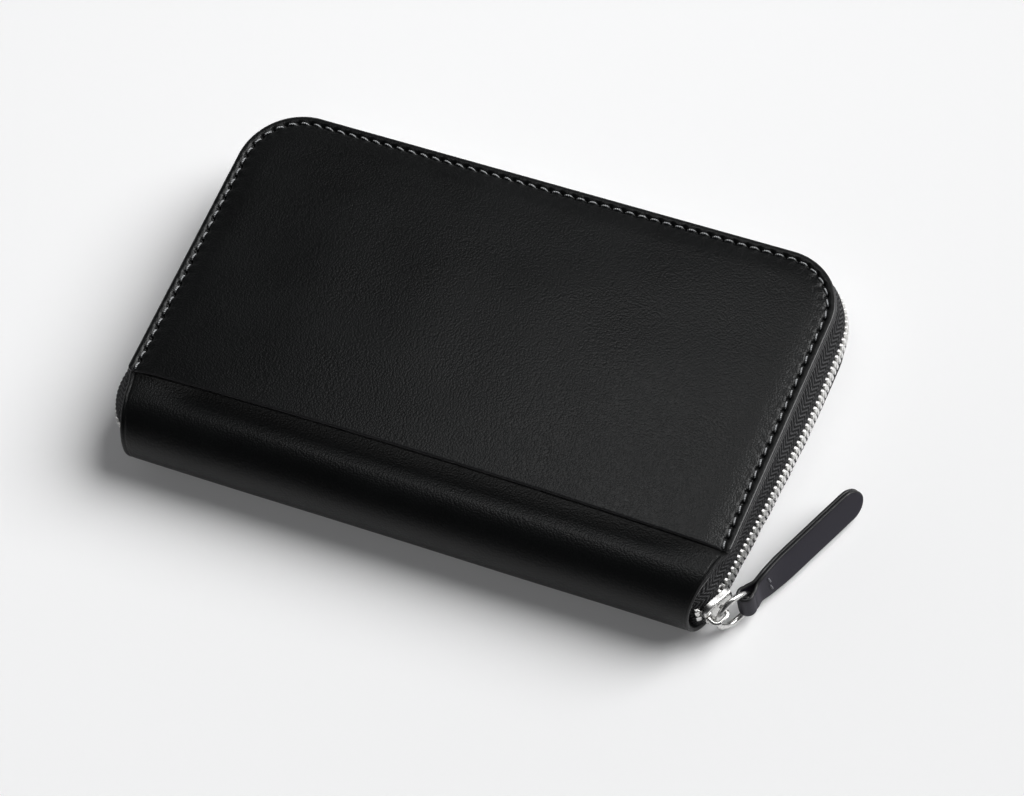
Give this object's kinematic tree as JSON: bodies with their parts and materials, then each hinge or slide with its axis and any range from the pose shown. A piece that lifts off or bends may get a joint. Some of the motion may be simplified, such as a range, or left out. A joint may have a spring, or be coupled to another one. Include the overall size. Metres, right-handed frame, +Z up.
{
  "type": "passport holder",
  "caption": "Zip-around black leather passport holder with rounded spine, outer slip pocket, inner sleeves and card slots, and a leather pull on a ring.",
  "frame": {"origin": "centre of the flat bottom face, on the surface the holder rests on", "axes": "+X along the spine to the end with the zip pull, +Y from the spine to the long zip side, +Z up through the outer pocket"},
  "size_m": [0.2069, 0.1137, 0.0285],
  "materials": {
    "black_leather": "satin, fine pebble grain",
    "inner_leather": "matte smooth",
    "lining_fabric": "matte twill",
    "stiffener_board": "matte",
    "zip_tape": "matte herringbone weave",
    "bright_nickel": "polished nickel",
    "grey_thread": "waxed thread"
  },
  "bodies": {
    "lower_half": {"wrap_lower": "black_leather", "lower_board": "stiffener_board", "lower_lining": "lining_fabric", "zip_tape_lower": "zip_tape", "zip_teeth_lower": "bright_nickel", "zip_bottom_stop": "bright_nickel", "zip_top_stop_lower": "bright_nickel", "passport_sleeve": "inner_leather", "ticket_sleeve": "inner_leather"},
    "upper_half": {"wrap_upper": "black_leather", "outer_pocket_panel": "black_leather", "pocket_seam_thread": "grey_thread", "upper_board": "stiffener_board", "upper_lining": "lining_fabric", "zip_tape_upper": "zip_tape", "zip_teeth_upper": "bright_nickel", "zip_top_stop_upper": "bright_nickel", "note_sleeve": "inner_leather", "card_slot_1": "inner_leather", "card_slot_2": "inner_leather", "card_slot_3": "inner_leather", "card_slot_4": "inner_leather"},
    "zip_slider": {"slider_body": "bright_nickel", "slider_bail": "bright_nickel"},
    "pull_ring": {"pull_ring": "bright_nickel"},
    "pull_tab": {"pull_tab": "black_leather"}
  },
  "joints": [
    {"name": "cover_open", "type": "hinge", "parent": "lower_half", "child": "upper_half", "pos_m": [0, -0.055, 0.01425], "axis": [1, 0, 0], "range_deg": [0, 175]},
    {"name": "zip_slide", "type": "slide", "parent": "lower_half", "child": "zip_slider", "axis": [0.0995, 0.995, 0], "range_m": [0, 0.055]},
    {"name": "ring_turn", "type": "hinge", "parent": "zip_slider", "child": "pull_ring", "pos_m": [0.09248, -0.04486, 0.0081], "axis": [0.8853, -0.465, 0], "range_deg": [0, 50]},
    {"name": "pull_swing", "type": "hinge", "parent": "pull_ring", "child": "pull_tab", "pos_m": [0.09498, -0.04009, 0.0077], "axis": [-0.0349, -0.0664, -0.9972], "range_deg": [-15, 60]}
  ]
}
